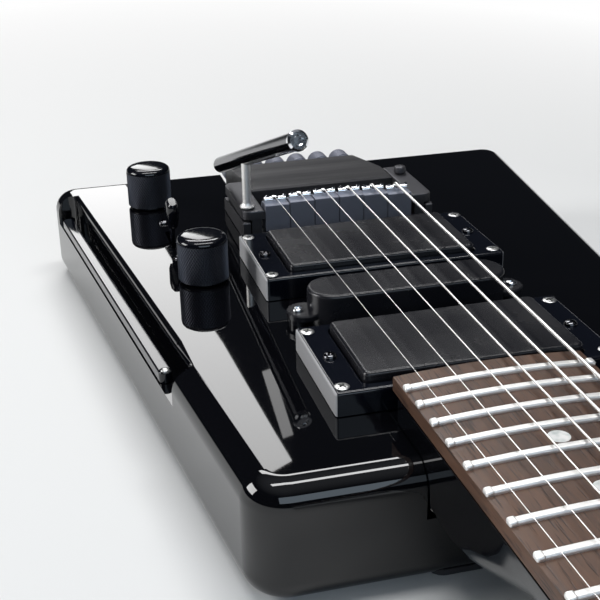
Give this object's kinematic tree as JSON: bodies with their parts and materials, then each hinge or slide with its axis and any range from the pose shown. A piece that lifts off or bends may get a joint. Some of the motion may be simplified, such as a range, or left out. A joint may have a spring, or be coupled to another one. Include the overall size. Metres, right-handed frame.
{
  "type": "headless electric guitar",
  "caption": "Headless electric guitar with a paddle-shaped gloss black body, humbucker and single-coil pickups, and a tremolo bridge that holds the tuners.",
  "frame": {"origin": "on the flat back of the body, under the centre line where the scale length ends at the bridge", "axes": "+Y towards the tail of the body, +X towards the bass side, +Z out of the face that carries the strings"},
  "size_m": [0.2152, 0.7775, 0.0964],
  "materials": {
    "gloss_black_wood": "high-gloss black lacquer",
    "dark_wood": "oiled dark wood",
    "gloss_black_plastic": "gloss black moulded",
    "satin_black_plastic": "satin black moulded",
    "black_metal": "satin black finish",
    "steel": "plain steel",
    "string_wire": "bright plain and wound wire",
    "bright_chrome": "polished"
  },
  "bodies": {
    "guitar": {"body": "gloss_black_wood", "neck": "gloss_black_wood", "fretboard": "dark_wood", "nut": "gloss_black_plastic", "neck_ring": "gloss_black_plastic", "bridge_ring": "gloss_black_plastic", "control_cover": "gloss_black_plastic", "neck_pickup": "satin_black_plastic", "bridge_pickup": "satin_black_plastic", "middle_pickup": "satin_black_plastic", "headpiece": "black_metal", "bracket_treble": "black_metal", "bracket_bass": "black_metal", "neck_plate": "black_metal", "jack_plate": "black_metal", "strap_button_tail": "black_metal", "strap_button_shoulder": "black_metal", "truss_rod": "steel", "tremolo_spring": "steel", "spring_bracket": "steel", "volume_pot": "steel", "tone_pot": "steel", "switch_frame": "steel", "leg_rest_screw": "steel", "output_jack": "steel", "string_1": "string_wire", "string_2": "string_wire", "string_3": "string_wire", "string_4": "string_wire", "string_5": "string_wire", "string_6": "string_wire"},
    "tremolo": {"tremolo_frame": "black_metal", "tuner_block": "black_metal", "saddle_1": "black_metal", "saddle_2": "black_metal", "saddle_3": "black_metal", "saddle_4": "black_metal", "saddle_5": "black_metal", "saddle_6": "black_metal"},
    "arm": {"tremolo_arm": "bright_chrome"},
    "lock": {"lock_screw": "black_metal"},
    "wheel": {"spring_wheel": "black_metal"},
    "volume": {"volume_knob": "gloss_black_plastic"},
    "tone": {"tone_knob": "gloss_black_plastic"},
    "switch": {"switch_lever": "gloss_black_plastic"},
    "leg_rest": {"leg_rest": "black_metal"},
    "tuner_1": {"tuner_knob_1": "black_metal"},
    "jaw_1": {"string_jaw_1": "steel"},
    "tuner_2": {"tuner_knob_2": "black_metal"},
    "jaw_2": {"string_jaw_2": "steel"},
    "tuner_3": {"tuner_knob_3": "black_metal"},
    "jaw_3": {"string_jaw_3": "steel"},
    "tuner_4": {"tuner_knob_4": "black_metal"},
    "jaw_4": {"string_jaw_4": "steel"},
    "tuner_5": {"tuner_knob_5": "black_metal"},
    "jaw_5": {"string_jaw_5": "steel"},
    "tuner_6": {"tuner_knob_6": "black_metal"},
    "jaw_6": {"string_jaw_6": "steel"}
  },
  "joints": [
    {"name": "tremolo_tilt", "type": "hinge", "parent": "guitar", "child": "tremolo", "pos_m": [0, 0.0015, 0.0425], "axis": [1, 0, 0], "range_deg": [-2, 6], "stiffness_Nm_per_rad": 12, "springref_deg": 0.81, "deforming": ["string_1", "string_2", "string_3", "string_4", "string_5", "string_6", "tremolo_spring"]},
    {"name": "arm_swing", "type": "hinge", "parent": "tremolo", "child": "arm", "pos_m": [-0.0367, 0.002, 0.05], "axis": [0, 0, 1], "range_deg": [-60, 40]},
    {"name": "lock_turn", "type": "hinge", "parent": "tremolo", "child": "lock", "pos_m": [0.0355, 0.026, 0.05], "axis": [0, 0, 1], "range_deg": [0, 360]},
    {"name": "tuner_1_turn", "type": "hinge", "parent": "tremolo", "child": "tuner_1", "pos_m": [-0.026, 0.0783, 0.0393], "axis": [0, -1, 0], "range_deg": [-740, 740]},
    {"name": "jaw_1_slide", "type": "slide", "parent": "tremolo", "child": "jaw_1", "axis": [0, 1, 0], "range_m": [-0.002, 0.002]},
    {"name": "tuner_2_turn", "type": "hinge", "parent": "tremolo", "child": "tuner_2", "pos_m": [-0.0156, 0.0783, 0.0393], "axis": [0, -1, 0], "range_deg": [-740, 740]},
    {"name": "jaw_2_slide", "type": "slide", "parent": "tremolo", "child": "jaw_2", "axis": [0, 1, 0], "range_m": [-0.002, 0.002]},
    {"name": "tuner_3_turn", "type": "hinge", "parent": "tremolo", "child": "tuner_3", "pos_m": [-0.0052, 0.0783, 0.0393], "axis": [0, -1, 0], "range_deg": [-740, 740]},
    {"name": "jaw_3_slide", "type": "slide", "parent": "tremolo", "child": "jaw_3", "axis": [0, 1, 0], "range_m": [-0.002, 0.002]},
    {"name": "tuner_4_turn", "type": "hinge", "parent": "tremolo", "child": "tuner_4", "pos_m": [0.0052, 0.0783, 0.0393], "axis": [0, -1, 0], "range_deg": [-740, 740]},
    {"name": "jaw_4_slide", "type": "slide", "parent": "tremolo", "child": "jaw_4", "axis": [0, 1, 0], "range_m": [-0.002, 0.002]},
    {"name": "tuner_5_turn", "type": "hinge", "parent": "tremolo", "child": "tuner_5", "pos_m": [0.0156, 0.0783, 0.0393], "axis": [0, -1, 0], "range_deg": [-740, 740]},
    {"name": "jaw_5_slide", "type": "slide", "parent": "tremolo", "child": "jaw_5", "axis": [0, 1, 0], "range_m": [-0.002, 0.002]},
    {"name": "tuner_6_turn", "type": "hinge", "parent": "tremolo", "child": "tuner_6", "pos_m": [0.026, 0.0783, 0.0393], "axis": [0, -1, 0], "range_deg": [-740, 740]},
    {"name": "jaw_6_slide", "type": "slide", "parent": "tremolo", "child": "jaw_6", "axis": [0, 1, 0], "range_m": [-0.002, 0.002]},
    {"name": "wheel_turn", "type": "hinge", "parent": "guitar", "child": "wheel", "pos_m": [0, 0.0758, 0.0232], "axis": [0, 1, 0], "continuous": true},
    {"name": "volume_turn", "type": "hinge", "parent": "guitar", "child": "volume", "pos_m": [-0.062, -0.037, 0.038], "axis": [0, 0, 1], "range_deg": [0, 280]},
    {"name": "tone_turn", "type": "hinge", "parent": "guitar", "child": "tone", "pos_m": [-0.069, 0.052, 0.038], "axis": [0, 0, 1], "range_deg": [0, 280]},
    {"name": "switch_throw", "type": "hinge", "parent": "guitar", "child": "switch", "pos_m": [-0.067, 0.0075, 0.028], "axis": [-1, 0, 0], "range_deg": [0, 32.6]},
    {"name": "leg_rest_swing", "type": "hinge", "parent": "guitar", "child": "leg_rest", "pos_m": [-0.08493, -0.088, 0.0256], "axis": [0, 0, 1], "range_deg": [0, 35]}
  ],
  "couplings": [
    {"joint": "tuner_1_turn", "follows": "jaw_1_slide", "rad_per_m": 6283.2},
    {"joint": "tuner_2_turn", "follows": "jaw_2_slide", "rad_per_m": 6283.2},
    {"joint": "tuner_3_turn", "follows": "jaw_3_slide", "rad_per_m": 6283.2},
    {"joint": "tuner_4_turn", "follows": "jaw_4_slide", "rad_per_m": 6283.2},
    {"joint": "tuner_5_turn", "follows": "jaw_5_slide", "rad_per_m": 6283.2},
    {"joint": "tuner_6_turn", "follows": "jaw_6_slide", "rad_per_m": 6283.2}
  ]
}
